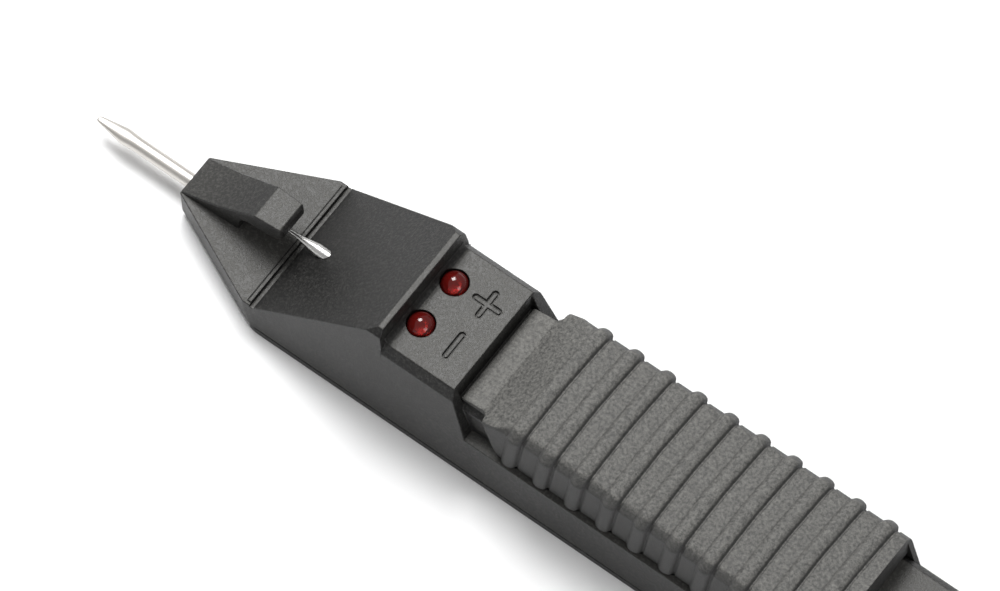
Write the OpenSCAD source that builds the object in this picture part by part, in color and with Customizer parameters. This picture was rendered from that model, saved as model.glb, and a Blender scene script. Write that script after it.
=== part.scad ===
// Hand-held voltage tester: a pointed probe rod, a hook over a wire jaw with a piercing needle,
// two polarity lamps and a ribbed grip that slides back against a spring to draw the needle in.
// Stations are distances along X from the probe's tip. The part rests on its flat underside at z = 0.

/* [Housing] */
// Width of the housing at its underside
body_w = 31.4; // [30:0.2:34]
// Lean of the side walls from upright, in degrees
side_lean = 5.8; // [3:0.1:7]
// Thickness of the moulded walls
wall = 2; // [1.6:0.1:2.2]
// Height of the nose, which is also the floor of the wire jaw
nose_h = 8.7; // [8.2:0.1:9.2]
// Width of the nose at its front
nose_w = 8.8; // [8:0.1:10]
// Length of the nose and jaw floor, up to the foot of the sloped panel
nose_len = 24.8; // [24:0.1:26]
// Angle of the nose's flanks to the centre line
flank_angle = 25; // [23:1:27]
// Length of the sloped panel, along the tester
panel_len = 27.1; // [26:0.1:29]
// Height of the crest behind the panel
crest_h = 30.1; // [29:0.1:32]
// Length of the crest's flat strip
crest_len = 1.1; // [0.8:0.1:1.6]
// Length of the slope from the crest down to the lamp deck
crest_step = 0.5; // [0.3:0.1:1]
// Height of the lamp deck
deck_h = 25.6; // [25:0.1:26.5]
// Length of the lamp deck
deck_len = 15.5; // [15:0.1:16]
// Height of the ledge that the grip's side walls run over
ledge_h = 12.6; // [12.4:0.1:13]
// Width of the chassis that the grip rides on
chassis_w = 23.8; // [23.2:0.1:23.9]
// Height of the chassis deck
chassis_h = 20.6; // [20.2:0.1:20.7]
// Length of the solid block at the tail
tail_len = 8; // [7:0.5:10]
// Thickness of the bottom cover
cover_t = 1.6; // [1.5:0.1:2]

/* [Hook] */
// Width of the hook where it leaves the nose
hook_w = 8; // [7.6:0.1:8.5]
// Length of the hook from the nose's front to its end
hook_len = 23.4; // [22.5:0.1:23.6]
// Length of the hook's rising facet
hook_rise_len = 17.3; // [16.5:0.1:18]
// Height of the hook's upper facet
hook_h = 19.2; // [18.8:0.1:20.5]
// Height of the jaw's roof, under the hook
jaw_h = 14.3; // [14:0.1:14.8]
// Distance from the nose's front to the back of the throat
throat_at = 13.6; // [13:0.1:14]

/* [Grip] */
// Length of the grip, from the front of its tongue to its rear face
grip_len = 81.9; // [81:0.1:84]
// Height of the grip's top between the ribs
grip_h = 27; // [26.8:0.1:28]
// Width of the grip between the ribs
grip_w = 26.6; // [26.4:0.1:27]
// Thickness of the grip's rear wall
grip_wall = 2.2; // [1.8:0.1:2.3]
// Number of ribs across the grip
rib_count = 10; // [4:1:10]
// Distance from rib to rib
rib_pitch = 7; // [6.5:0.1:7]
// Length of a rib along the grip
rib_len = 3.2; // [2.4:0.1:3.6]
// How far a rib stands out
rib_h = 0.8; // [0.5:0.1:1.2]
// How far the grip and needle travel back
travel = 10; // [8:0.5:10]

/* [Probe and needle] */
// Diameter of the probe rod
rod_d = 2.9; // [2.5:0.1:3]
// Length of the probe rod in front of the nose
rod_out = 22.6; // [18:0.1:30]
// Height of the probe rod's centre line
rod_z = 4.8; // [4.6:0.1:5]
// Diameter of the needle's shank
needle_d = 2.3; // [1.8:0.1:2.5]
// Depth of the needle's centre line below the chassis deck
needle_drop = 7.9; // [7.8:0.1:8]
// Distance from the needle's point to the panel's foot
needle_out = 4.4; // [4:0.1:5]
// Length of the needle's point
needle_point = 8; // [7:0.1:10]

/* [Lamps] */
// Diameter of a lamp's lens
lamp_d = 5.2; // [4.8:0.1:5.3]
// Diameter of a lamp's hole in the deck
lamp_hole_d = 5.5; // [5.4:0.1:6]
// Distance between the two lamps
lamp_pitch = 10; // [9:0.1:11]
// Length of a polarity mark's stroke
mark_len = 6.4; // [5.4:0.1:7]
// Width of a polarity mark's stroke
mark_w = 1.35; // [1:0.05:1.6]
// Depth of a polarity mark
mark_depth = 0.45; // [0.2:0.05:0.6]

/* [Lead inlet] */
// Bore of the gland that the lead comes out of
lead_d = 3.2; // [2.8:0.1:3.6]
// How far the gland stands out of the tail
gland_out = 6.5; // [4:0.5:10]

/* [Hidden] */

$fn = 48;
// Running gap between pieces that slide, and the small gap of pieces that are fitted
run_gap = 0.3;
fit_gap = 0.03;
// One overrun for every cut
over = 1;

// Gaps and lengths that set the stations
deck_gap = 0.65;
wing_len = 2.8;
tail_gap = 1;
cavity_back = 5;

// Height of the needle's centre line
needle_z = chassis_h - needle_drop;

// Stations along the tester
nose_at = rod_out;
panel_at = nose_at + nose_len;
crest_at = panel_at + panel_len;
deck_at = crest_at + crest_len + crest_step;
deck_end = deck_at + deck_len;
grip_at = deck_end + deck_gap;
grip_end = grip_at + grip_len;
wing_end = grip_end + wing_len;
tail_at = wing_end + travel + tail_gap;
tail_end = tail_at + tail_len;
total_len = tail_end + gland_out;
cavity_at = panel_at + cavity_back;
// Lip and groove across the rear of the jaw's floor
lip_back = 1.8;
lip_h = 0.35;
groove_back = 0.9;
groove_over = 0.2;
groove_deep = 0.6;
lip_at = panel_at - lip_back;
groove_at = panel_at - groove_back;
groove_end = panel_at + groove_over;

// Bevels of the crest, the lamp deck, the chassis and the tail, across and down
crest_bevel = [1.3, 1.5];
deck_bevel = [1.5, 2.1];
chassis_bevel = [1.2, 1.2];
tail_bevel = [1.6, 1.6];
// Length of the lamp block's rear cheeks, which slope down to the ledge
cheek_len = 3.6;
tongue_half = 10.9;
cheek_in = tongue_half + run_gap;
// Radius of the body's plan corners behind the nose, at the nose's front and at the tail
flank_r = 12;
nose_r = 0.5;
tail_r = 4;

function side_half(z) = body_w/2 - z*tan(side_lean);
function panel_z(x) = nose_h + (x - panel_at)*(crest_h - nose_h)/panel_len;

// Points of an arc round a centre, from one angle to another
function arc(centre, r, from, to, steps = 6) =
    [for (i = [0:steps]) centre + r*[cos(from + (to - from)*i/steps), sin(from + (to - from)*i/steps)]];
function mirrored(points) = concat(points, [for (i = [len(points) - 1:-1:0]) [points[i][0], -points[i][1]]]);
function mirrored_y(points) = concat(points, [for (i = [len(points) - 1:-1:0]) [-points[i][0], points[i][1]]]);

// Moves stations from the probe's tip to the middle of the tester
module placed() {
    translate([-total_len/2, 0, 0]) children();
}

// A section drawn in Y and Z, carried along X
module along(from, to, points) {
    translate([from, 0, 0]) rotate([90, 0, 90]) linear_extrude(to - from) polygon(points);
}

// A side profile drawn in X and Z, carried across Y
module across(from, to, points) {
    translate([0, to, 0]) rotate([90, 0, 0]) linear_extrude(to - from) polygon(points);
}

// A cylinder that lies along X
module rod_x(from, to, d, z, y = 0) {
    translate([from, y, z]) rotate([0, 90, 0]) cylinder(d = d, h = to - from);
}

module block(from, to, half, low, high) {
    translate([from, -half, low]) cube([to - from, 2*half, high - low]);
}

function body_section(h, bevel) = mirrored_y([
    [side_half(0), 0],
    [side_half(h - bevel[1]), h - bevel[1]],
    [side_half(h - bevel[1]) - bevel[0], h]]);

// The body seen from above: a pointed nose with rounded corners, then straight sides
function plan_points() =
    let (full = side_half(0),
        flank_len = (full - nose_w/2)/tan(flank_angle),
        shoulder = nose_at + flank_len,
        tangent = flank_r*tan(flank_angle/2))
    mirrored(concat(
        arc([nose_at + nose_r, nose_w/2 + nose_r*tan(flank_angle) - nose_r/cos(flank_angle)],
            nose_r, 180, 90 + flank_angle),
        arc([shoulder + tangent, full - flank_r], flank_r, 90 + flank_angle, 90),
        arc([tail_end - tail_r, full - tail_r], tail_r, 90, 0)));

module plan_prism(low, high) {
    translate([0, 0, low]) linear_extrude(high - low) polygon(plan_points());
}

// Screws: places across from the centre line, and sizes
cover_screw_back = 13.5;
cover_screw_ahead = 6.5;
cover_screw_x = [panel_at + cover_screw_back, tail_at - cover_screw_ahead];
cover_screw_y = 10;
cover_screw_d = 2.9;
cover_head_d = 5.2;
cover_head_h = 1.3;
cover_screw_len = 9;
cover_boss_d = 6;
screw_slot_w = 0.8;
screw_slot_depth = 0.5;

// A countersunk screw that points up from its head, with a slot in the head
module screw(d, len, head_d, head_h) {
    difference() {
        union() {
            cylinder(d1 = head_d, d2 = d, h = head_h);
            cylinder(d = d, h = len - d/2);
            translate([0, 0, len - d/2]) cylinder(d1 = d, d2 = d/3, h = d/2);
        }
        translate([-head_d, -screw_slot_w/2, -over]) cube([2*head_d, screw_slot_w, screw_slot_depth + over]);
    }
}

module screw_hole(d, len, head_d, head_h) {
    translate([0, 0, -over]) cylinder(d = d + 2*fit_gap, h = len + over + fit_gap);
    cylinder(d1 = head_d + 2*fit_gap, d2 = d + 2*fit_gap, h = head_h);
    translate([0, 0, -over]) cylinder(d = head_d + 2*fit_gap, h = over + fit_gap/4);
}

module at_cover_screws() {
    for (x = cover_screw_x) {
        for (side = [-1, 1]) translate([x, side*cover_screw_y, 0]) children();
    }
}

// Circuit board and what holds it
// Its front edge stays clear of the sloped panel's inner face
board_reach = 32.4;
board_w = 19;
board_t = 1.6;
board_room = 1.1;
board_gap = 0.5;
board_z = chassis_h - wall - board_room - board_t;
panel_slope = (crest_h - nose_h)/panel_len;
panel_inner = wall/cos(atan(panel_slope));
board_at = panel_at + (board_z + board_t + board_gap + panel_inner - nose_h)/panel_slope;
board_end = deck_end + board_reach;
cover_boss_gap = 3.9;
cover_boss_h = board_z - cover_boss_gap;
board_screw_in = [4, 5];
board_screw_x = [board_at + board_screw_in[0], board_end - board_screw_in[1]];
board_screw_y = 7.4;
board_screw_places = [[board_screw_x[0], board_screw_y], [board_screw_x[1], -board_screw_y]];
board_screw_d = 2.2;
board_head_d = 4;
board_head_h = 0.9;
board_screw_len = 4.2;
board_boss_d = 4.6;

lamp_back = 2.9;
mark_back = 7.3;
lamp_x = deck_at + lamp_back;
mark_x = lamp_x + mark_back;

// Needle carriage
carriage_back = 4;
carriage_over = 2.8;
carriage_under = 4.8;
carriage_short = 6;
carriage_at = board_at + carriage_back;
carriage_half = 5;
carriage_low = needle_z - carriage_under;
carriage_top = needle_z + carriage_over;
carriage_end = grip_end - carriage_short;
pad_back = [42, 65];
pad_x = [grip_at + pad_back[0], grip_at + pad_back[1]];
pad_len = 13;
pad_half = 6;
pad_top = chassis_h - wall - run_gap;
boss_d = 7;
slot_gap = 0.4;
spring_d = 5.6;
spring_wire = 0.7;
spring_pocket = 7.5;
spring_pocket_d = 6.2;
spring_rod_d = 3;
spring_drop = 1;
spring_z = needle_z - spring_drop;
seat_t = 2;
seat_gap = 2;
seat_at = tail_at - seat_t - seat_gap;
web_t = 1.6;
web_under = 6.3;
web_low = needle_z - web_under;
web_gap = 2;
passage_d = 4;
passage_y = 8;
passage_z = 5;

// Inside of the housing, in section: a wide tray below the ledge and the narrower chassis above
function chassis_inside() = mirrored_y([
    [side_half(0) - wall, -over],
    [side_half(ledge_h - wall) - wall, ledge_h - wall],
    [chassis_w/2 - wall, ledge_h - wall],
    [chassis_w/2 - wall, chassis_h - wall]]);

module housing_outside() {
    // Nose, jaw floor with a low lip and a groove at its rear, sloped panel and crest
    intersection() {
        along(nose_at, deck_at, body_section(crest_h, crest_bevel));
        plan_prism(0, crest_h);
        across(-body_w, body_w, [[nose_at, 0], [nose_at, nose_h], [lip_at, nose_h],
            [lip_at + lip_h, nose_h + lip_h], [groove_at, nose_h + lip_h], [groove_at, nose_h - groove_deep],
            [groove_end, nose_h - groove_deep], [groove_end, panel_z(groove_end)], [crest_at, crest_h],
            [crest_at + crest_len, crest_h], [deck_at, deck_h], [deck_at, 0]]);
    }
    // Lamp block, with cheeks that slope down to the ledge at its rear
    intersection() {
        along(deck_at, deck_end + cheek_len, body_section(deck_h, deck_bevel));
        union() {
            block(deck_at, deck_end, body_w/2, 0, deck_h);
            for (side = [-1, 1]) {
                across(side > 0 ? cheek_in : -body_w/2, side > 0 ? body_w/2 : -cheek_in,
                    [[deck_end, 0], [deck_end, deck_h], [deck_end + cheek_len, ledge_h],
                        [deck_end + cheek_len, 0]]);
            }
        }
    }
    // Tray up to the ledge, and the chassis that the grip rides on
    along(deck_end, tail_at, mirrored_y([[side_half(0), 0], [side_half(ledge_h), ledge_h]]));
    along(deck_end, tail_at, mirrored_y([[chassis_w/2, ledge_h - wall], [chassis_w/2, chassis_h - chassis_bevel[1]],
        [chassis_w/2 - chassis_bevel[0], chassis_h]]));
    // Tail block
    intersection() {
        along(tail_at, tail_end, body_section(chassis_h, tail_bevel));
        plan_prism(0, chassis_h);
    }
}

module housing_inside() {
    // Under the panel, crest and lamp deck
    intersection() {
        along(cavity_at, deck_end - wall, mirrored_y([[side_half(0) - wall, -over],
            [side_half(crest_h) - wall, crest_h]]));
        across(-body_w, body_w, [[cavity_at, -over], [cavity_at, panel_z(cavity_at) - panel_inner],
            [crest_at - 3*wall/2, panel_z(crest_at - 3*wall/2) - panel_inner],
            [crest_at, panel_z(crest_at - 3*wall/2) - panel_inner], [deck_at - crest_step/2, deck_h - wall],
            [deck_end - wall, deck_h - wall], [deck_end - wall, -over]]);
    }
    // Tray and chassis up to the spring's seat, and the room behind it
    along(deck_end - wall - over, seat_at, chassis_inside());
    along(seat_at + seat_t, tail_end - wall, chassis_inside());
}

// The hook: a rising facet, a flat one, a rounded throat under it and a slanted end
module hook() {
    crease = nose_at + hook_rise_len;
    hook_end = nose_at + hook_len;
    throat = nose_at + throat_at;
    throat_r = 2.4;
    end_t = 2.6;
    end_rise = 3;
    taper = 0.3;
    corner = 0.4;
    mid = nose_at + hook_rise_len/2;
    sag = 0.9;
    intersection() {
        across(-hook_w, hook_w, concat(
            [[nose_at, nose_h - wall], [nose_at, nose_h + fit_gap*6],
                [mid, (nose_h + hook_h)/2 - sag], [crease, hook_h],
                [hook_end - end_t/4, hook_h + fit_gap*6], [hook_end, hook_h - end_t/4],
                [hook_end, hook_h - end_t], [hook_end - end_t/2, jaw_h + end_t/4],
                [hook_end - end_rise, jaw_h]],
            arc([throat + throat_r, jaw_h - throat_r], throat_r, 90, 180),
            [[throat - throat_r/4, nose_h], [throat - throat_r/4, nose_h - wall]]));
        translate([0, 0, nose_h - wall]) linear_extrude(hook_h) polygon(mirrored([
            [nose_at, nose_w/2 - nose_r/3], [mid, hook_w/2], [crease, hook_w/2 - taper],
            [hook_end - corner, hook_w/2 - 2*taper], [hook_end, hook_w/2 - 2*taper - corner]]));
    }
}

module mark_stroke(along_x) {
    rotate([0, 0, along_x ? 0 : 90]) {
        for (end = [-1, 1]) translate([end*(mark_len - mark_w)/2, 0, 0]) circle(d = mark_w, $fn = 24);
        square([mark_len - mark_w, mark_w], center = true);
    }
}

module marks() {
    translate([0, 0, deck_h - mark_depth]) linear_extrude(mark_depth + over) {
        translate([mark_x, lamp_pitch/2]) union() {
            mark_stroke(true);
            mark_stroke(false);
        }
        translate([mark_x, -lamp_pitch/2]) mark_stroke(false);
    }
}

guide_boss_d = 7;
guide_d = 4.6;
guide_back = 3.95;
guide_boss_len = 4.38;
guide_proud = 1.8;
guide_at = panel_at + (needle_z - nose_h)/panel_slope + guide_back;
guide_end = guide_at + guide_boss_len;
support_back = 1;
rod_in = 2.7;
rod_end = board_at + rod_in;
rod_pin_back = 9;
rod_pin_x = nose_at + rod_pin_back;
rod_pin_d = 1.2;
rod_pin_len = 6.6;

module housing() color("#2b2c2e") placed() {
    difference() {
        union() {
            difference() {
                union() {
                    housing_outside();
                    hook();
                }
                housing_inside();
            }
            guide_boss();
            rod_support();
            cover_bosses();
            board_bosses();
            guide_webs();
            clamp_bosses();
        }
        // The cover's seat takes the whole underside behind the nose
        cover_plate(fit_gap, over);
        rod_x(nose_at - over, rod_end + over, rod_d + 2*fit_gap, rod_z);
        translate([rod_pin_x, 0, -over]) cylinder(d = rod_pin_d + 2*fit_gap, h = rod_pin_len + over + fit_gap);
        rod_x(needle_tip - run_gap, guide_at, needle_d + 2*run_gap, needle_z);
        rod_x(guide_at, guide_end + over, guide_d + 2*fit_gap, needle_z);
        for (side = [-1, 1]) {
            translate([lamp_x, side*lamp_pitch/2, deck_h - wall - over])
                cylinder(d = lamp_hole_d, h = wall + 2*over);
        }
        marks();
        for (x = pad_x) deck_slot(x);
        translate([0, 0, cover_t]) at_cover_screws()
            cylinder(d = cover_screw_d + 2*fit_gap, h = cover_screw_len - cover_t + fit_gap);
        for (p = board_screw_places) translate([p[0], p[1], board_z + board_t - over])
            cylinder(d = board_screw_d + 2*fit_gap, h = board_hole_h(p[0]) + over);
        rod_x(seat_at - over, seat_at + seat_t + over, spring_rod_d + 2*fit_gap, spring_z);
        rod_x(seat_at - over, seat_at + seat_t + over, passage_d, passage_z, passage_y);
        rod_x(tail_end - wall - over, tail_end + over, gland_neck_d + 2*fit_gap, lead_z);
        // Screw holes of the lead clamp
        for (side = [-1, 1]) translate([clamp_x, side*clamp_screw_y, clamp_z - over])
            cylinder(d = clamp_screw_d + 2*fit_gap, h = clamp_screw_len + over);
    }
}

// Depth of a board screw's hole: the screw, less the board, with the thin chassis deck kept whole
function board_hole_h(x) = x > deck_end ? short_hole : board_screw_len;
short_hole = 2.1;

// Boss of the needle's guide, cut off under the panel's surface, with a fin up to the panel
module guide_boss() {
    under = wall/2;
    from = cavity_at - over;
    intersection() {
        union() {
            rod_x(from, guide_end, guide_boss_d, needle_z);
            translate([guide_at, -wall/2, needle_z]) cube([guide_end - guide_at, wall, crest_h]);
        }
        across(-guide_boss_d, guide_boss_d, [[from - over, 0], [from - over, panel_z(from - over) - under],
            [guide_end + over, panel_z(guide_end + over) - under], [guide_end + over, 0]]);
    }
}

module rod_support() {
    x = cavity_at + support_back;
    translate([x, -wall - rod_d/2, cover_t]) cube([wall, 2*wall + rod_d, rod_z - cover_t + rod_d]);
    for (side = [-1, 1]) translate([x, side > 0 ? rod_d/2 + wall/2 : -side_half(0) + wall/2, cover_t])
        cube([wall, side_half(0) - wall - rod_d/2, rod_z - cover_t]);
}

module clamp_bosses() {
    for (side = [-1, 1]) translate([clamp_x, side*clamp_screw_y, clamp_z])
        cylinder(d = clamp_boss_d, h = chassis_h - wall/2 - clamp_z);
}

module cover_bosses() {
    for (x = cover_screw_x) {
        for (side = [-1, 1]) {
            translate([x, side*cover_screw_y, cover_t]) cylinder(d = cover_boss_d, h = cover_boss_h - cover_t);
            translate([x - wall/2, side > 0 ? cover_screw_y : -side_half(cover_boss_h) + wall/2, cover_t])
                cube([wall, side_half(cover_boss_h) - wall/2 - cover_screw_y, cover_boss_h - cover_t]);
        }
    }
}

module board_bosses() {
    front = board_screw_places[0];
    rear = board_screw_places[1];
    translate([front[0], front[1], board_z + board_t])
        cylinder(d = board_boss_d, h = panel_z(front[0]) - wall - board_z - board_t);
    translate([rear[0], rear[1], board_z + board_t])
        cylinder(d = board_boss_d, h = chassis_h - wall/2 - board_z - board_t);
}

// Two webs under the chassis deck guide the carriage from side to side
module guide_webs() {
    for (side = [-1, 1]) {
        translate([board_end + web_gap, side > 0 ? pad_half + run_gap : -pad_half - run_gap - web_t, web_low])
            cube([seat_at - board_end - web_gap, web_t, chassis_h - wall/2 - web_low]);
    }
}

// A slot in the chassis deck lets a boss of the grip through, over the whole travel
module deck_slot(x) {
    slot_w = boss_d + 2*slot_gap;
    for (dx = [0, travel]) translate([x + dx, 0, chassis_h - wall - over]) cylinder(d = slot_w, h = wall + 2*over);
    translate([x, -slot_w/2, chassis_h - wall - over]) cube([travel, slot_w, wall + 2*over]);
}

// Bottom cover: a flat plate with a raised rim inside the walls and two rails under the carriage
cover_ahead = 0.9;
cover_at = panel_at - cover_ahead;
cover_lip_h = 2;
cover_lip_t = 1.2;
module cover_plate(gap, below) {
    intersection() {
        plan_prism(-below, cover_t + gap);
        translate([cover_at - gap, -body_w, -below]) cube([tail_end, 2*body_w, below + cover_t + gap]);
        along(cover_at - gap, tail_end, mirrored_y([[side_half(-below), -below],
            [side_half(cover_t + gap), cover_t + gap]]));
    }
}

module bottom_cover() color("#2a2b2d") placed() {
    lip_half = side_half(cover_t) - wall - run_gap;
    lip_from = cavity_at + run_gap;
    lip_to = cover_screw_x[1] - cover_boss_d;
    rail_from = carriage_at + run_gap;
    difference() {
        union() {
            cover_plate(0, 0);
            for (side = [-1, 1]) {
                translate([rail_from, side > 0 ? lip_half - cover_lip_t : -lip_half, cover_t - fit_gap])
                    cube([lip_to - rail_from, cover_lip_t, cover_lip_h]);
                translate([rail_from, side*carriage_half/2 - wall/2, cover_t - fit_gap])
                    cube([seat_at - run_gap - rail_from, wall, carriage_low - run_gap - cover_t]);
            }
            translate([lip_from, -carriage_half, cover_t - fit_gap]) cube([cover_lip_t, 2*carriage_half,
                rod_z - rod_d/2 - run_gap - cover_t]);
        }
        at_cover_screws() screw_hole(cover_screw_d, cover_t + over, cover_head_d, cover_head_h);
    }
}

module cover_screws() color("#8e9196") placed() {
    at_cover_screws() screw(cover_screw_d, cover_screw_len, cover_head_d, cover_head_h);
}

// Grip: a ribbed shell over the chassis. A low tongue at its front is followed by a slope up to the first rib.
// Its side walls start behind the tongue and end in slanted wings
tongue_len = 5.1;
tongue_t = 0.6;
tongue_rise = 1;
slope_len = 7.2;
grip_bevel = [1.4, 2.1];
grip_lift = 0.3;
grip_low = ledge_h + grip_lift;
grip_floor = chassis_h + run_gap;
grip_roof_t = 2.4;
grip_roof = grip_h - grip_roof_t;
cheek_gap = 6.4;
cheek_slant = 3;
rib_back = 12.35;
rib_at = grip_at + rib_back;
slope_end = grip_at + tongue_len + slope_len;

function grip_section(grow, low) = mirrored_y([
    [grip_w/2 + grow, low],
    [grip_w/2 + grow, grip_h - grip_bevel[1] + grow*tan(22.5)],
    [grip_w/2 - grip_bevel[0] + grow*tan(22.5), grip_h + grow]]);

function rib_profile() = [for (p = rib_shares) [p[0]*rib_len, p[1]*rib_h]];
rib_shares = [[0, 0], [0.1, 0.34], [0.24, 0.74], [0.42, 0.97], [0.56, 1], [0.74, 0.88], [0.9, 0.56], [1, 0]];

module rib() {
    profile = rib_profile();
    intersection() {
        along(0, rib_len, grip_section(rib_h, grip_low));
        across(-grip_w, grip_w, concat([[0, 0]], [for (p = profile) [p[0], grip_h + p[1]]], [[rib_len, 0]]));
        linear_extrude(2*grip_h) polygon(mirrored(concat([[0, 0]],
            [for (p = profile) [p[0], grip_w/2 + p[1]]], [[rib_len, 0]])));
    }
}

module grip_outside() {
    difference() {
        union() {
            along(grip_at, wing_end, grip_section(0, grip_low));
            for (i = [0:rib_count - 1]) translate([rib_at + i*rib_pitch, 0, 0]) rib();
        }
        // Tongue and slope at the front
        across(-body_w, body_w, [[grip_at - over, grip_floor + tongue_t], [grip_at, grip_floor + tongue_t],
            [grip_at + tongue_len, grip_floor + tongue_t + tongue_rise], [slope_end, grip_h],
            [slope_end, 2*grip_h], [grip_at - over, 2*grip_h]]);
        // Side walls are cut back beside the tongue
        intersection() {
            across(-body_w, body_w, [[grip_at - over, 0], [grip_at - over, 2*grip_h],
                [grip_at + cheek_gap - over, 2*grip_h], [grip_at + cheek_gap - over, grip_h - grip_bevel[1]],
                [grip_at + cheek_gap + cheek_slant - over, ledge_h], [grip_at + cheek_gap + cheek_slant - over, 0]]);
            for (side = [-1, 1]) {
                translate([0, 0, -over]) linear_extrude(2*grip_h + over) polygon([[grip_at - 2*over, side*tongue_half],
                    [grip_at + tongue_len, side*tongue_half], [grip_at + cheek_gap, side*chassis_w/2],
                    [grip_at + 2*cheek_gap, side*chassis_w/2], [grip_at + 2*cheek_gap, side*body_w],
                    [grip_at - 2*over, side*body_w]]);
            }
        }
        // Rear face and slanted wings
        across(-body_w, body_w, [[grip_end, 2*grip_h], [grip_end, grip_h - grip_bevel[1]],
            [wing_end, grip_low], [wing_end, -over], [wing_end + over, -over], [wing_end + over, 2*grip_h]]);
        block(grip_end, wing_end + over, chassis_w/2 + run_gap, 0, 2*grip_h);
    }
}

module grip() color("#3b3c3d") placed() {
    inner = chassis_w/2 + run_gap;
    difference() {
        union() {
            difference() {
                grip_outside();
                block(grip_at - over, wing_end + over, inner, 0, grip_floor);
                along(grip_at + cheek_gap + cheek_slant, grip_end - grip_wall, mirrored_y([
                    [inner, grip_floor - over], [inner, grip_floor + over], [inner - wall, grip_roof]]));
            }
            for (x = pad_x) translate([x, 0, pad_top]) cylinder(d = boss_d, h = grip_roof + over - pad_top);
        }
        for (x = pad_x) translate([x, 0, pad_top - over])
            cylinder(d = carriage_screw_d + 2*fit_gap, h = carriage_screw_in + over + fit_gap);
    }
}

carriage_screw_d = 3;
carriage_head_d = 5.4;
carriage_head_h = 1.5;
carriage_screw_in = 4.6;
carriage_screw_len = pad_top - carriage_low + carriage_screw_in;

holder_d = 4.6;
holder_len = 14;
holder_proud = 1.6;
holder_at = carriage_at - holder_proud;
holder_bottom = 2;
grub_d = 2;
grub_back = 7;
grub_x = carriage_at + grub_back;

module carriage() color("#5d5f60") placed() {
    difference() {
        union() {
            block(carriage_at, carriage_end, carriage_half, carriage_low, carriage_top);
            for (x = pad_x) block(x - pad_len/2, x + pad_len/2, pad_half, carriage_low, pad_top);
        }
        rod_x(carriage_at - over, holder_at + holder_len + fit_gap, holder_d + 2*fit_gap, needle_z);
        rod_x(carriage_end - spring_pocket, carriage_end + over, spring_pocket_d, spring_z);
        translate([grub_x, -carriage_half - over, needle_z]) rotate([-90, 0, 0])
            cylinder(d = grub_d + 2*fit_gap, h = carriage_half + over);
        for (x = pad_x) translate([x, 0, carriage_low])
            screw_hole(carriage_screw_d, carriage_screw_len, carriage_head_d, carriage_head_h);
    }
}

module carriage_screws() color("#8e9196") placed() {
    for (x = pad_x) translate([x, 0, carriage_low])
        screw(carriage_screw_d, carriage_screw_len, carriage_head_d, carriage_head_h);
}

// Return spring, as a plain sleeve of the coil's size, and the pin that keeps it straight
module return_spring() color("#b9bcc0") placed() {
    difference() {
        rod_x(carriage_end - spring_pocket, seat_at, spring_d, spring_z);
        rod_x(carriage_end - spring_pocket - over, seat_at + over, spring_d - 2*spring_wire, spring_z);
    }
}

module spring_rod() color("#c5c8cb") placed() {
    rod_x(seat_at - travel - over, seat_at + seat_t, spring_rod_d, spring_z);
}

// Needle: a ground point on a round shank, clamped in a brass holder by a grub screw
needle_tip = panel_at - needle_out;
needle_end = holder_at + holder_len - holder_bottom;
needle_nose_d = 0.25;
needle_fine_d = 0.7;
needle_fine_share = 0.45;
module needle() color("#cfd2d3") placed() {
    fine = needle_fine_share*needle_point;
    translate([needle_tip, 0, needle_z]) rotate([0, 90, 0])
        cylinder(d1 = needle_nose_d, d2 = needle_fine_d, h = fine);
    translate([needle_tip + fine, 0, needle_z]) rotate([0, 90, 0])
        cylinder(d1 = needle_fine_d, d2 = needle_d, h = needle_point - fine);
    rod_x(needle_tip + needle_point, needle_end, needle_d, needle_z);
}

module needle_holder() color("#b8963e") placed() {
    difference() {
        rod_x(holder_at, holder_at + holder_len, holder_d, needle_z);
        rod_x(holder_at - over, needle_end + fit_gap, needle_d + 2*fit_gap, needle_z);
        translate([grub_x, -holder_d, needle_z]) rotate([-90, 0, 0]) cylinder(d = grub_d + 2*fit_gap, h = holder_d);
    }
}

module needle_grub_screw() color("#8e9196") placed() {
    translate([grub_x, -carriage_half + fit_gap*10, needle_z]) rotate([-90, 0, 0]) difference() {
        cylinder(d = grub_d, h = carriage_half - needle_d/2 - fit_gap*12);
        translate([-grub_d, -screw_slot_w/4, -over]) cube([2*grub_d, screw_slot_w/2, screw_slot_depth + over]);
    }
}

module needle_guide() color("#b8963e") placed() {
    difference() {
        rod_x(guide_at, guide_end + guide_proud, guide_d, needle_z);
        rod_x(guide_at - over, guide_end + guide_proud + over, needle_d + 4*fit_gap, needle_z);
    }
}

// Leaf spring under the board that presses on the guide, so that the needle is joined to the board
module needle_contact() color("#c9a04c") placed() {
    leaf_w = 2.4;
    leaf_t = 0.25;
    leaf_len = 5;
    pad_end = guide_end + guide_proud;
    low = needle_z + guide_d/2 + fit_gap;
    from = board_at + leaf_t*2;
    across(-leaf_w/2, leaf_w/2, [[guide_end + leaf_t, low], [pad_end - leaf_t, low], [from, board_z - leaf_t],
        [from + leaf_len, board_z - leaf_t], [from + leaf_len, board_z], [from - leaf_t, board_z],
        [pad_end - 2*leaf_t, low + leaf_t], [guide_end + leaf_t, low + leaf_t]]);
}

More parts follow.
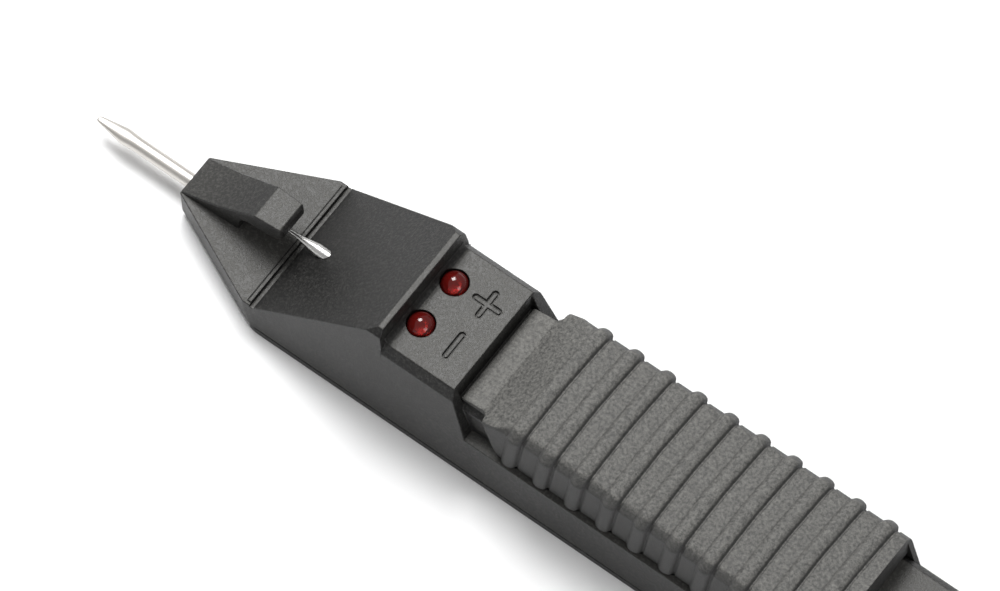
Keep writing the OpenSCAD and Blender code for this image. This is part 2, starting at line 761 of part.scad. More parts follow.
// Probe rod: round steel with a flat blade ground on its tip
blade_len = 6.3;
blade_w = 3.3;
blade_t = 1.5;
blade_tip_w = 1.2;
blade_tip_t = 0.7;
module probe_rod() color("#d3d1cc") placed() {
    difference() {
        union() {
            rod_x(blade_len, rod_end, rod_d, rod_z);
            translate([0, 0, rod_z]) intersection() {
                linear_extrude(rod_d, center = true) polygon(mirrored([[0, blade_tip_w/2],
                    [blade_len, blade_w/2], [blade_len + rod_d, rod_d/2]]));
                across(-rod_d, rod_d, [[0, blade_tip_t/2], [blade_len, rod_d/2 - fit_gap],
                    [blade_len + rod_d, rod_d/2 - fit_gap], [blade_len + rod_d, fit_gap - rod_d/2],
                    [blade_len, fit_gap - rod_d/2], [0, -blade_tip_t/2]]);
            }
        }
        translate([rod_pin_x, 0, rod_z - rod_d]) cylinder(d = rod_pin_d + 2*fit_gap, h = 2*rod_d);
    }
}

module rod_pin() color("#9a9da0") placed() {
    translate([rod_pin_x, 0, 0]) cylinder(d = rod_pin_d, h = rod_pin_len);
}

// Brass clip on the rod's inner end, and the wire from it up to the board
clip_len = 3.4;
clip_t = 0.5;
wire_d = 0.9;
wire_y = 4.5;
module rod_clip() color("#b8963e") placed() {
    difference() {
        union() {
            rod_x(rod_end - clip_len, rod_end + clip_t, rod_d + 2*clip_t + 2*fit_gap, rod_z);
            translate([rod_end - clip_len, 0, rod_z]) cube([clip_len, wire_y + wire_d/2, clip_t]);
        }
        rod_x(rod_end - clip_len - over, rod_end + fit_gap, rod_d + 2*fit_gap, rod_z);
    }
}

module rod_wire() color("#9e2b25") placed() {
    translate([rod_end - clip_len/2, wire_y, rod_z + clip_t]) cylinder(d = wire_d, h = board_z - rod_z - clip_t);
}

module circuit_board() color("#2f6b3a") placed() {
    difference() {
        translate([board_at, -board_w/2, board_z]) cube([board_end - board_at, board_w, board_t]);
        for (p = board_screw_places) translate([p[0], p[1], board_z - over])
            cylinder(d = board_screw_d + 2*fit_gap, h = board_t + 2*over);
        for (side = [-1, 1]) {
            for (leg = [-1, 1]) translate([lamp_x + leg*lamp_leg_gap, side*lamp_pitch/2, board_z - over])
                cylinder(d = lamp_leg + 4*fit_gap, h = board_t + 2*over, $fn = 16);
        }
    }
}

module board_screws() color("#8e9196") placed() {
    for (p = board_screw_places) {
        translate([p[0], p[1], board_z - board_head_h]) {
            cylinder(d = board_head_d, h = board_head_h);
            cylinder(d = board_screw_d, h = board_head_h + board_t + board_hole_h(p[0]) - fit_gap);
        }
    }
}

// A lamp: a domed lens on a flange, with two legs through the board
lamp_flange_d = 5.8;
lamp_flange_h = 1;
lamp_stand = 0.9;
lamp_out = 1.6;
lamp_under = 0.2;
lamp_base = min(board_z + board_t + lamp_stand, deck_h - wall - lamp_flange_h - lamp_under);
lamp_top = deck_h + lamp_out;
lamp_leg = 0.5;
lamp_leg_gap = 1.27;
module lamp(side) {
    translate([lamp_x, side*lamp_pitch/2, 0]) {
        translate([0, 0, lamp_base]) cylinder(d = lamp_flange_d, h = lamp_flange_h);
        translate([0, 0, lamp_base]) cylinder(d = lamp_d, h = lamp_top - lamp_d/2 - lamp_base);
        translate([0, 0, lamp_top - lamp_d/2]) sphere(d = lamp_d);
        for (leg = [-1, 1]) translate([leg*lamp_leg_gap, 0, board_z - fit_gap])
            cylinder(d = lamp_leg, h = lamp_base - board_z + 2*fit_gap, $fn = 16);
    }
}

module lamp_plus() color("#b3201c") placed() {
    lamp(1);
}

module lamp_minus() color("#b3201c") placed() {
    lamp(-1);
}

// A small part with two end legs, lying across the board
module axial(x, y, body_d, body_len, reach) {
    z = board_z + board_t + body_d/2 + fit_gap;
    leg = 0.5;
    translate([x, y, 0]) {
        translate([0, -body_len/2, z]) rotate([-90, 0, 0]) cylinder(d = body_d, h = body_len);
        translate([0, -reach/2, z]) rotate([-90, 0, 0]) cylinder(d = leg, h = reach, $fn = 16);
        for (side = [-1, 1]) translate([0, side*reach/2, board_z + board_t])
            cylinder(d = leg, h = z + leg/2 - board_z - board_t, $fn = 16);
    }
}

resistor_gap = 2;
resistor_d = 1.7;
diode_d = 1.5;
resistor_len = 4.6;
resistor_reach = 7.4;
diode_len = 3.4;
diode_reach = 6.4;
diode_back = 3;
resistor_x = lamp_x + lamp_flange_d/2 + resistor_gap;
module resistors() color("#c9b37e") placed() {
    for (side = [-1, 1]) axial(resistor_x, side*lamp_pitch/2, resistor_d, resistor_len, resistor_reach);
    axial(lamp_x - lamp_flange_d/2 - resistor_gap, 0, resistor_d, resistor_len, resistor_reach);
}

module diodes() color("#3a3a3c") placed() {
    for (side = [-1, 1]) axial(resistor_x + diode_back, side*lamp_pitch/2, diode_d, diode_len, diode_reach);
}

chip_back = 7.4;
module driver_chip() color("#202124") placed() {
    chip_len = 5;
    chip_w = 4;
    chip_h = 0.75;
    pin_reach = 0.9;
    pin_w = 0.4;
    pin_pitch = 1.27;
    x = deck_end + chip_back;
    z = board_z + board_t;
    translate([x, -chip_w/2, z]) cube([chip_len, chip_w, chip_h]);
    for (i = [0:3]) {
        for (side = [-1, 1]) translate([x + pin_w + i*pin_pitch, side > 0 ? chip_w/2 : -chip_w/2 - pin_reach, z])
            cube([pin_w, pin_reach, pin_w]);
    }
}

capacitor_back = 17.4;
capacitor_y = 5;
capacitor_size = [3.2, 2.4, 0.85];
module capacitor() color("#c77b2b") placed() {
    translate([deck_end + capacitor_back, capacitor_y, board_z + board_t]) cube(capacitor_size);
}

// Tab that the lead's core is soldered to, under the board's rear edge
module lead_terminal() color("#c9ccd0") placed() {
    tab_t = 0.5;
    tab_w = 3;
    tab_h = 3;
    tab_len = 2.5;
    tab_y = 6;
    translate([board_end - tab_len, -tab_y - tab_w, board_z - tab_h]) cube([tab_t, tab_w, tab_h]);
    translate([board_end - tab_len, -tab_y - tab_w, board_z - tab_t]) cube([tab_len, tab_w, tab_t]);
}

// Gland in the tail wall, the clamp inside it and the clamp's screws
lead_z = 9;
gland_neck_d = 7;
gland_flange_d = 9.4;
gland_flange_t = 1.5;
gland_end_d = 5;
gland_inner_t = 1.2;
module lead_gland() color("#1d1d1f") placed() {
    difference() {
        union() {
            rod_x(tail_end - wall - gland_inner_t, tail_end - wall, gland_flange_d, lead_z);
            rod_x(tail_end - wall - gland_inner_t, tail_end, gland_neck_d, lead_z);
            rod_x(tail_end, tail_end + gland_flange_t, gland_flange_d, lead_z);
            translate([tail_end + gland_flange_t, 0, lead_z]) rotate([0, 90, 0])
                cylinder(d1 = gland_neck_d, d2 = gland_end_d, h = gland_out - gland_flange_t);
        }
        rod_x(tail_end - 2*wall, total_len + over, lead_d, lead_z);
    }
}

clamp_back = 2.4;
clamp_rise = 0.4;
clamp_boss_d = 4.6;
clamp_x = seat_at + seat_t + clamp_back;
clamp_len = 3;
clamp_half = 6.5;
clamp_t = 1.6;
clamp_z = lead_z + lead_d/2 + clamp_rise;
clamp_screw_y = 4.6;
clamp_screw_d = 2;
clamp_screw_len = 5;
module lead_clamp() color("#3c3d3f") placed() {
    difference() {
        translate([clamp_x - clamp_len/2, -clamp_half, clamp_z - clamp_t]) cube([clamp_len, 2*clamp_half, clamp_t]);
        rod_x(clamp_x - clamp_len, clamp_x + clamp_len, lead_d, lead_z);
        for (side = [-1, 1]) translate([clamp_x, side*clamp_screw_y, clamp_z - clamp_t - over])
            cylinder(d = clamp_screw_d + 2*fit_gap, h = clamp_t + 2*over);
    }
}

module clamp_screws() color("#8e9196") placed() {
    head_h = 0.9;
    for (side = [-1, 1]) translate([clamp_x, side*clamp_screw_y, clamp_z - clamp_t - head_h]) {
        cylinder(d = 2*clamp_screw_d, h = head_h);
        cylinder(d = clamp_screw_d, h = head_h + clamp_t + clamp_screw_len - fit_gap);
    }
}

housing();
bottom_cover();
cover_screws();
grip();
carriage();
carriage_screws();
return_spring();
spring_rod();
needle();
needle_holder();
needle_grub_screw();
needle_guide();
needle_contact();
probe_rod();
rod_pin();
rod_clip();
rod_wire();
circuit_board();
board_screws();
lamp_plus();
lamp_minus();
resistors();
diodes();
driver_chip();
capacitor();
lead_terminal();
lead_gland();
lead_clamp();
clamp_screws();
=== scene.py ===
import math

import bmesh
import bpy
from mathutils import Matrix, Vector


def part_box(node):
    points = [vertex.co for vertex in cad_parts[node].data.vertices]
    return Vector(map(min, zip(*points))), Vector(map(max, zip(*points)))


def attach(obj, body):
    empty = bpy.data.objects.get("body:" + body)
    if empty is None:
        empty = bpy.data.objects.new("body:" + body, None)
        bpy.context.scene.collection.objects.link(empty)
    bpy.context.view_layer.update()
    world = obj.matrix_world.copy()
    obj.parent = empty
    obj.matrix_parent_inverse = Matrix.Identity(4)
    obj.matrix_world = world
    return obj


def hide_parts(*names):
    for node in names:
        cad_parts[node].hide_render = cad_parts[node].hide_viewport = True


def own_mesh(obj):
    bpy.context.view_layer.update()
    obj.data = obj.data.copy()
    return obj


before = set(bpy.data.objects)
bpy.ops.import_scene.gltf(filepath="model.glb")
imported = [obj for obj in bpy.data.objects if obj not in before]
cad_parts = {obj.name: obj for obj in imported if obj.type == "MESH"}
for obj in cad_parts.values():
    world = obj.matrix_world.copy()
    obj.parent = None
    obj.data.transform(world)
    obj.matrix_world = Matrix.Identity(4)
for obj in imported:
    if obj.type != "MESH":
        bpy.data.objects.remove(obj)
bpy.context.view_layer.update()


# Housing
# The case is one hollow moulding of black glass-filled nylon, open underneath. Its tool was
# spark-eroded, so it has a fine satin grain. The hook over the wire jaw is part of the same
# moulding, and so are the deck with the lamp holes and the narrow chassis that the grip rides on.

MM = 0.001
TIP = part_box("probe_rod")[0][0]


def at(station, y=0.0, z=0.0):
    """A point: millimetres behind the probe's tip, across from the middle and above the bench."""
    return Vector((TIP + station * MM, y * MM, z * MM))


def prism(outline, axis, low, high):
    """A closed solid with a flat outline, carried along one axis from low to high."""
    places = {
        "x": lambda a, b, c: at(c, a, b),
        "y": lambda a, b, c: at(a, c, b),
        "z": lambda a, b, c: at(a, b, c),
    }
    place = places[axis]
    shape = bmesh.new()
    near = [shape.verts.new(place(a, b, low)) for a, b in outline]
    far = [shape.verts.new(place(a, b, high)) for a, b in outline]
    shape.faces.new(near)
    shape.faces.new(far)
    for i in range(len(near)):
        j = (i + 1) % len(near)
        shape.faces.new((near[i], near[j], far[j], far[i]))
    return closed(shape)


def closed(shape):
    """Turns a bmesh into an object, with its faces pointing outwards."""
    bmesh.ops.recalc_face_normals(shape, faces=shape.faces)
    mesh = bpy.data.meshes.new("shape")
    shape.to_mesh(mesh)
    shape.free()
    piece = bpy.data.objects.new("shape", mesh)
    bpy.context.scene.collection.objects.link(piece)
    return piece


def box(from_x, to_x, from_y, to_y, low, high):
    """A block, given by its stations, sides and heights."""
    return prism([(from_x, from_y), (to_x, from_y), (to_x, to_y), (from_x, to_y)], "z", low, high)


def applied(piece, kind, **settings):
    """Puts one modifier on a piece and applies it."""
    modifier = piece.modifiers.new(kind.lower(), kind)
    for name, value in settings.items():
        setattr(modifier, name, value)
    with bpy.context.temp_override(object=piece, active_object=piece, selected_objects=[piece]):
        bpy.ops.object.modifier_apply(modifier=modifier.name)
    return piece


def combined(piece, operation, *tools):
    """Cuts tools out of a piece, joins them to it, or keeps what they share."""
    for tool in tools:
        applied(piece, "BOOLEAN", operation=operation, solver="EXACT", object=tool)
        bpy.data.objects.remove(tool)
    return piece


def softened(piece, width, angle=25):
    """Rounds a piece's edges, once the seams between flat faces in one plane are gone."""
    shape = bmesh.new()
    shape.from_mesh(piece.data)
    bmesh.ops.remove_doubles(shape, verts=shape.verts, dist=0.002 * MM)
    bmesh.ops.dissolve_limit(shape, angle_limit=math.radians(0.5), verts=shape.verts, edges=shape.edges)
    shape.to_mesh(piece.data)
    shape.free()
    return applied(piece, "BEVEL", width=width * MM, segments=3, limit_method="ANGLE",
                   angle_limit=math.radians(angle))


def finished(piece, name, angle=32):
    """Names a piece and shades its rounded parts smoothly while its flat faces stay flat."""
    piece.name = piece.data.name = name
    piece.data.shade_smooth()
    piece.data.set_sharp_from_angle(angle=math.radians(angle))
    applied(piece, "WEIGHTED_NORMAL", keep_sharp=True, weight=80)
    return piece


def joined(piece, *others):
    """Adds other shapes to a piece's mesh as they are."""
    shape = bmesh.new()
    shape.from_mesh(piece.data)
    for other in others:
        shape.from_mesh(other.data)
        bpy.data.objects.remove(other)
    shape.to_mesh(piece.data)
    shape.free()
    return piece


def arc(centre, radius, start, end, steps=8):
    """Points on an arc, in degrees."""
    turns = [math.radians(start + (end - start) * i / steps) for i in range(steps + 1)]
    return [(centre[0] + radius * math.cos(t), centre[1] + radius * math.sin(t)) for t in turns]


def mirrored(points):
    """An outline's upper half with its mirror image below."""
    return points + [(x, -y) for x, y in reversed(points)]


def both_sides(points):
    """A section's right half with its mirror image on the left."""
    return points + [(-y, z) for y, z in reversed(points)]


def circle(centre, radius, sides=48):
    """A round outline."""
    return arc(centre, radius, 0, 360 - 360 / sides, sides - 1)


def round_bar(from_x, to_x, radius, z, y=0.0):
    """A round bar that lies along the tester."""
    return prism(circle((y, z), radius), "x", from_x, to_x)


def post(x, y, radius, low, high, sides=48):
    """A round post that stands upright."""
    return prism(circle((x, y), radius, sides), "z", low, high)


BASE_HALF = 15.7
WIDE = 20
LEAN = math.tan(math.radians(5.8))
NOSE, PANEL, CREST, DECK, DECK_END, CHEEK_END = 22.6, 47.4, 74.5, 76.1, 91.6, 95.2
TAIL, TAIL_END = 187.95, 195.95
NOSE_TOP, CREST_TOP, DECK_TOP, LEDGE, CHASSIS_TOP = 8.7, 30.1, 25.6, 12.6, 20.6
CHASSIS_HALF = 11.9
COVER = 1.6
WALL = 2.0


def side(z):
    """Half the case's width at this height: its sides lean in a little."""
    return BASE_HALF - z * LEAN


def section(top, bevel):
    """The case in section: leaning sides and a bevelled top."""
    low = top - bevel[1]
    return both_sides([(side(COVER), COVER), (side(low), low), (side(low) - bevel[0], top)])


# The case from above: a blunt pointed nose with slanted flanks, and rounded corners
FLANK, NOSE_HALF, NOSE_ROUND, SHOULDER_ROUND, TAIL_ROUND = 25, 4.4, 0.5, 12, 4
flank = math.radians(FLANK)
shoulder = NOSE + (BASE_HALF - NOSE_HALF) / math.tan(flank) + SHOULDER_ROUND * math.tan(flank / 2)
nose_y = NOSE_HALF + NOSE_ROUND * math.tan(flank) - NOSE_ROUND / math.cos(flank)
plan = mirrored(
    arc((NOSE + NOSE_ROUND, nose_y), NOSE_ROUND, 180, 90 + FLANK)
    + arc((shoulder, BASE_HALF - SHOULDER_ROUND), SHOULDER_ROUND, 90 + FLANK, 90)
    + arc((TAIL_END - TAIL_ROUND, BASE_HALF - TAIL_ROUND), TAIL_ROUND, 90, 0))

front = prism(section(CREST_TOP, (1.3, 1.5)), "x", NOSE - 1, DECK)
profile = prism([(NOSE, COVER), (NOSE, NOSE_TOP), (PANEL, NOSE_TOP), (CREST, CREST_TOP),
                 (CREST + 1.1, CREST_TOP), (DECK, DECK_TOP), (DECK, COVER)], "y", -WIDE, WIDE)
combined(front, "INTERSECT", prism(plan, "z", COVER, 40), profile)

deck = prism(section(DECK_TOP, (1.5, 2.1)), "x", DECK, CHEEK_END)
combined(deck, "INTERSECT", prism([(DECK, COVER), (DECK, DECK_TOP), (DECK_END, DECK_TOP),
                                   (CHEEK_END, LEDGE), (CHEEK_END, COVER)], "y", -WIDE, WIDE))
combined(deck, "DIFFERENCE", box(DECK_END, DECK_END + 5, -11.25, 11.25, 10, 30))

tray = prism(both_sides([(side(COVER), COVER), (side(LEDGE), LEDGE)]), "x", DECK_END, TAIL)
chassis = prism(both_sides([(CHASSIS_HALF, 10), (CHASSIS_HALF, CHASSIS_TOP - 1.2),
                            (CHASSIS_HALF - 1.2, CHASSIS_TOP)]), "x", DECK_END - 1, TAIL + 1)
tail = prism(section(CHASSIS_TOP, (1.6, 1.6)), "x", TAIL, TAIL_END + 1)
combined(tail, "INTERSECT", prism(plan, "z", COVER, 40))
case = combined(front, "UNION", deck, chassis, tail)
softened(case, 0.42)
combined(case, "UNION", softened(tray, 0.1))

# The hook: a rising facet, a flat one, a rounded throat and a slanted end
hook = prism([(NOSE + 0.35, 6.5), (NOSE + 0.1, 8.9), (31.0, 12.9), (39.9, 19.1), (45.4, 19.35), (46.0, 18.7),
              (46.0, 16.6), (44.4, 14.95), (43.1, 14.3)]
             + arc((38.6, 11.9), 2.4, 90, 180) + [(35.7, 8.6), (35.7, 6.5)], "y", -6, 6)
combined(hook, "INTERSECT", prism(mirrored([(NOSE + 0.05, 4.2), (31.0, 4.0), (39.9, 3.7), (45.6, 3.4),
                                            (46.0, 3.0)]), "z", 5, 25))
softened(hook, 0.38, angle=20)
combined(case, "UNION", hook)

# A low lip and a groove across the rear of the jaw's floor, and a fillet at the crest's foot
combined(case, "UNION",
         prism([(45.6, 8.5), (45.6, 8.72), (45.95, 9.03), (46.6, 9.03), (46.6, 8.5)], "y", -14.2, 14.2),
         prism([(75.9, 25.4), (75.98, 27.3), (76.2, 26.6), (76.5, 26.1), (76.95, 25.75), (77.6, 25.58),
                (77.7, 25.4)], "y", -11.7, 11.7))
combined(case, "DIFFERENCE",
         prism([(46.5, 9.4), (46.62, 8.15), (47.5, 8.15), (47.72, 9.4)], "y", -WIDE, WIDE))

# Hollow inside: the room under the panel and the deck, and the long tray up to the rear bulkhead
BULKHEAD = 183.95
inner_half = side(0) - WALL
cavity = prism([(52.4, 0.5), (52.4, 10.1), (71.5, 25.1), (74.5, 25.1), (75.8, 23.6), (89.6, 23.6),
                (89.6, 0.5)], "y", -WIDE, WIDE)
combined(cavity, "INTERSECT", prism(both_sides([(inner_half, 0), (side(CREST_TOP) - WALL, CREST_TOP)]),
                                    "x", 50, 90))
ceiling = LEDGE - WALL
long_room = both_sides([(inner_half, 0.5), (side(ceiling) - WALL, ceiling), (9.9, ceiling), (9.9, 18.6)])
combined(case, "DIFFERENCE", cavity,
         prism(long_room, "x", 89.1, BULKHEAD), prism(long_room, "x", BULKHEAD + WALL, TAIL_END - WALL))

# Holes: the rod, the needle, two lamps, the grip's slots, the spring's pin, the lead and the gland
LAMP_X, LAMP_Y, LAMP_HOLE = 79.0, 5.0, 2.75
NEEDLE, NEEDLE_HOLE, ROD_Z = 1.15, 1.19, 4.8
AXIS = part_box("needle")[0][2] / MM + NEEDLE
BUSH, BUSH_END, BUSH_HOLE = 56.4, 60.8, 2.33
GRIP_SCREWS, TRAVEL, SLOT = (134.25, 157.25), 10, 3.9
combined(case, "DIFFERENCE",
         round_bar(20, 54, 1.5, ROD_Z), round_bar(44, 57, NEEDLE_HOLE, AXIS),
         round_bar(BUSH, BUSH_END, BUSH_HOLE, AXIS), round_bar(183, 187, 1.53, AXIS - 1),
         round_bar(183, 187, 2.0, 5, 8), round_bar(193, 197, 3.53, 9),
         *[post(LAMP_X, y, LAMP_HOLE, 22, 28, 64) for y in (-LAMP_Y, LAMP_Y)],
         *[prism(arc((x + TRAVEL, 0), SLOT, -90, 90, 12) + arc((x, 0), SLOT, 90, 270, 12), "z", 17, 22)
           for x in GRIP_SCREWS])

# Polarity marks sunk into the deck beside the lamps
MARK_X, MARK_HALF, MARK_DEEP = 86.3, 0.68, 0.5


def stroke(x, y, length, along, low, inset=0.0):
    """An upright slab with round ends."""
    half, width = length / 2 - MARK_HALF, MARK_HALF - inset
    if along:
        ends = arc((x + half, y), width, -90, 90) + arc((x - half, y), width, 90, 270)
    else:
        ends = arc((x, y + half), width, 0, 180) + arc((x, y - half), width, 180, 360)
    return prism(ends, "z", low, DECK_TOP + 1)


strokes = ((5.0, 6.4, True), (5.0, 6.4, False), (-4.9, 6.2, False))
combined(case, "DIFFERENCE", *[
    stroke(MARK_X, y, length, along, DECK_TOP - MARK_DEEP) for y, length, along in strokes])
floors = [stroke(MARK_X, y, length, along, DECK_TOP - 0.6, 0.34) for y, length, along in strokes]
floors = [combined(shape, "INTERSECT", box(80, 92, -12, 12, 20, DECK_TOP - 0.22)) for shape in floors]
combined(case, "UNION", combined(floors[0], "UNION", floors[1]), floors[2])

# The parting line: a thin recess above the bottom cover's edge
combined(case, "DIFFERENCE", *[
    prism([(end * (side(COVER) - 0.3), COVER - 0.2), (end * 18, COVER - 0.2), (end * 18, COVER + 0.35),
           (end * (side(COVER) - 0.3), COVER + 0.35)], "x", 48, 192)
    for end in (-1, 1)])

# Inside: the needle guide's boss, the rod's support, screw posts, the carriage's webs
COVER_SCREWS = [(x, y) for x in (60.9, 181.45) for y in (-10, 10)]
BOARD = 17.55


def bored_post(x, y, radius, low, high, hole, hole_low, hole_high):
    """An upright post with a round hole in it."""
    return combined(post(x, y, radius, low, high), "DIFFERENCE", post(x, y, hole, hole_low, hole_high))


guide_boss = combined(round_bar(51.6, BUSH_END, 3.5, AXIS), "INTERSECT",
                      prism([(50, 5), (50, 9.8), (62, 19.2), (62, 5)], "y", -5, 5))
combined(guide_boss, "DIFFERENCE", round_bar(BUSH, 62, BUSH_HOLE, AXIS))
combined(guide_boss, "DIFFERENCE", round_bar(50, 57, NEEDLE_HOLE, AXIS))
inside = [guide_boss]
inside += [box(53.4, 55.4, low, high, COVER + 0.1, ROD_Z) for low, high in ((-13.9, -1.5), (1.5, 13.9))]
inside += [bored_post(x, y, 3.0, COVER + 0.05, 12, 1.48, 0, 9.1) for x, y in COVER_SCREWS]
inside += [bored_post(66.4, 7.4, 2.3, BOARD, 21.6, 1.13, 17, 21.8)]
inside += [bored_post(119.0, -7.4, 2.3, BOARD, 19.0, 1.13, 17, 19.5)]
inside += [bored_post(188.35, y, 2.3, 11.05, 19.0, 1.03, 10, 16) for y in (-4.6, 4.6)]
inside += [box(126, 184, y, y + 1.6, 6.4, 19) for y in (-7.9, 6.3)]
joined(case, *inside)
finished(case, "housing_shell")


class Socket:
    """One socket of a material, so that shader maths reads as plain expressions."""

    def __init__(self, tree, socket=None):
        self.tree, self.socket = tree, socket

    def node(self, kind, settings=None, output=0, **inputs):
        """Adds a node with its settings, then the values or links of its inputs."""
        node = self.tree.nodes.new("ShaderNode" + kind)
        for name, value in (settings or {}).items():
            setattr(node, name, value)
        for name, value in inputs.items():
            key = int(name[1:]) if name[0] == "i" and name[1:].isdigit() else name.replace("_", " ")
            if isinstance(value, Socket):
                self.tree.links.new(value.socket, node.inputs[key])
            else:
                node.inputs[key].default_value = value
        return Socket(self.tree, node.outputs[output])

    def maths(self, operation, first, second=0.0):
        return self.node("Math", {"operation": operation}, i0=first, i1=second)

    def __add__(self, other):
        return self.maths("ADD", self, other)

    __radd__ = __add__

    def __sub__(self, other):
        return self.maths("SUBTRACT", self, other)

    def __mul__(self, other):
        return self.maths("MULTIPLY", self, other)

    __rmul__ = __mul__

    def __lt__(self, other):
        return self.maths("LESS_THAN", self, other)

    def clamped(self, low, high):
        """Spreads values from low to high over 0 to 1, and cuts off the rest."""
        return self.node("MapRange", {"clamp": True}, Value=self, From_Min=low, From_Max=high)

    def noise(self, scale, detail=3.0, roughness=0.55, spread=(1, 1, 1)):
        """Cloudy grain over the piece, with scale in cells per metre."""
        where = self.node("TexCoord", output=3)
        if spread != (1, 1, 1):
            where = self.node("VectorMath", {"operation": "MULTIPLY"}, i0=where, i1=spread)
        return self.node("TexNoise", Vector=where, Scale=scale, Detail=detail, Roughness=roughness)

    def along(self, axis=0):
        """The place along the tester, or across it with 1 as the axis, in metres."""
        return self.node("SeparateXYZ", output=axis, Vector=self.node("TexCoord", output=3))

    def upward(self, low=0.82, high=0.97):
        """1 on faces that look straight up, 0 on steep ones."""
        return self.node("SeparateXYZ", output=2, Vector=self.node("TexCoord", output=1)).clamped(low, high)

    def tint(self, dark, light, by):
        """A colour between two colours."""
        return self.node("Mix", {"data_type": "RGBA"}, output=2, i0=by, i6=(*dark, 1.0), i7=(*light, 1.0))

    def bump(self, height, strength, distance, under=None):
        """A surface's small relief. distance is in metres."""
        links = {"Normal": under} if under else {}
        return self.node("Bump", Strength=strength, Distance=distance, Height=height, **links)


def material(name, **values):
    """A new material, with the plain values of its surface set, and the start of its expressions."""
    made = bpy.data.materials.new(name)
    made.use_nodes = True
    surface = made.node_tree.nodes["Principled BSDF"]
    for key, value in values.items():
        surface.inputs[key.replace("_", " ")].default_value = value
    return made, surface, Socket(made.node_tree)


def feed(surface, **links):
    """Joins expressions to a surface's inputs."""
    for key, value in links.items():
        value.tree.links.new(value.socket, surface.inputs[key.replace("_", " ")])


def dress(piece, made, body):
    """Gives a piece its material and the body it moves with."""
    piece.data.materials.clear()
    piece.data.materials.append(made)
    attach(piece, body)


# Black nylon: fine sparkling grain and a cloudy gloss, with painted light: the faces that look up are painted
# paler
nylon, surface, s = material("case_nylon", Specular_IOR_Level=0.3, IOR=1.52)
grain = s.noise(3800, 2.0, 0.6)
cloud = s.noise(160, 4.0, 0.6)
speck = s.noise(1900, 3.0, 0.7).clamped(0.48, 0.7)
rounded = s.node("Bevel", {"samples": 6}, Radius=0.25 * MM)
# Painted light: the upward mask lifts the colour of the faces that look up, standing in for the overhead
# light on them; the specks and clouds are the nylon's own grain.
feed(surface,
     Base_Color=s.tint((0.0066, 0.0065, 0.0066), (0.098, 0.096, 0.0885),
                      speck * 0.3 + cloud * 0.12 + s.upward() * (speck * 0.3 + 0.47)),
     Roughness=cloud * 0.12 + grain * 0.12 + 0.3,
     Normal=s.bump(grain + speck * 0.6, 0.6, 0.07 * MM, rounded))
dress(case, nylon, "case")
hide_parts("housing")


# Bottom cover
# A flat plate of the same nylon closes the case from below. Its edge is rounded, which leaves the
# thin parting line along the sides, and two rails on it hold the carriage up.

cover = prism(plan, "z", 0, COVER)
combined(cover, "INTERSECT",
         prism(both_sides([(side(0), -0.5), (side(COVER), COVER + 0.5)]), "x", 46.5, 197))
softened(cover, 0.22)
combined(cover, "DIFFERENCE", *[
    post(x, y, 2.63, -0.5, 0.55) for x, y in COVER_SCREWS])
combined(cover, "DIFFERENCE", *[post(x, y, 1.5, -1, 3) for x, y in COVER_SCREWS])
rails = [box(66.9, 183.6, y, y + 2, COVER - 0.05, 7.55) for y in (-3.5, 1.5)]
rails += [box(66.9, 175.4, y, y + 1.2, COVER - 0.05, 3.55) for y in (-13.2, 12.0)]
joined(cover, *rails)
finished(cover, "cover_plate")
dress(cover, nylon, "case")
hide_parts("bottom_cover")


# Grip
# The sliding grip is moulded from a greyer, coarser nylon. It is a channel over the chassis with a
# low tongue and a slope at the front, a slightly crowned top and ten ribs. Each rib rises softly and
# ends in a steep foot. The side walls hang down to the ledges and are cut back at both ends.

GRIP, GRIP_END, WING_END = 92.25, 174.15, 176.95
GRIP_EDGE, CROWN = 26.75, 0.45
TOP_HALF, GRIP_HALF, KNEE, GRIP_LOW = 11.9, 13.3, 24.9, LEDGE + 0.3
TONGUE_HALF, TONGUE_END, INNER, FLOOR = 10.95, 97.4, 12.2, 20.9
FIRST_RIB, RIB_PITCH, RIB_LEN, RIB_HIGH, RIBS = 104.6, 7.0, 3.2, 0.8, 10
rib_shares = [(0, 0), (0.05, 0.2), (0.12, 0.48), (0.22, 0.76), (0.34, 0.93), (0.48, 1.0), (0.6, 0.98),
              (0.74, 0.88), (0.86, 0.72), (0.93, 0.5), (0.97, 0.24), (1.0, 0.0)]
WALL_FOOT = 101.9
wall_front = [(98.4, 22.9), (98.5, 22.85), (98.7, 22.8), (98.9, 22.6), (99.1, 21.9), (99.5, 20.3),
              (100.1, 18.0), (100.5, 16.3), (100.9, 15.0), (101.4, 13.9), (WALL_FOOT, GRIP_LOW)]
wall_half = [(98.4, 12.6), (98.5, 12.95), (98.7, 13.2), (98.9, 13.28), (99.1, GRIP_HALF)]


def between(points, x):
    """Reads a height off a line of points."""
    for (x0, z0), (x1, z1) in zip(points, points[1:]):
        if x <= x1:
            return z0 + (z1 - z0) * max(0.0, (x - x0) / (x1 - x0))
    return points[-1][1]


top_line = [(GRIP, 21.05), (92.35, 21.35), (92.6, 21.52), (97.3, 22.47), (97.5, 22.58), (104.3, 26.62),
            (FIRST_RIB, GRIP_EDGE), (2 * WING_END, GRIP_EDGE)]
stations = [GRIP, 92.3, 92.35, 92.6, 93.5, 95, 96.3, 97.3, TONGUE_END, 97.5, 97.9, 98.39]
stations += [x for x, z in wall_front] + [102.8, 103.7, 104.3]
growth = {}
for rib in range(RIBS):
    for share, high in rib_shares:
        x = round(FIRST_RIB + rib * RIB_PITCH + share * RIB_LEN, 4)
        growth[x] = high * RIB_HIGH
        stations.append(x)
    for behind_foot, depth in ((0.12, 0.22), (0.38, 0.22), (0.6, 0.0)):
        x = round(FIRST_RIB + rib * RIB_PITCH + RIB_LEN + behind_foot, 4)
        growth[x] = -depth
        stations.append(x)
    stations.append(FIRST_RIB + rib * RIB_PITCH + 5.1)
stations += [WING_END]


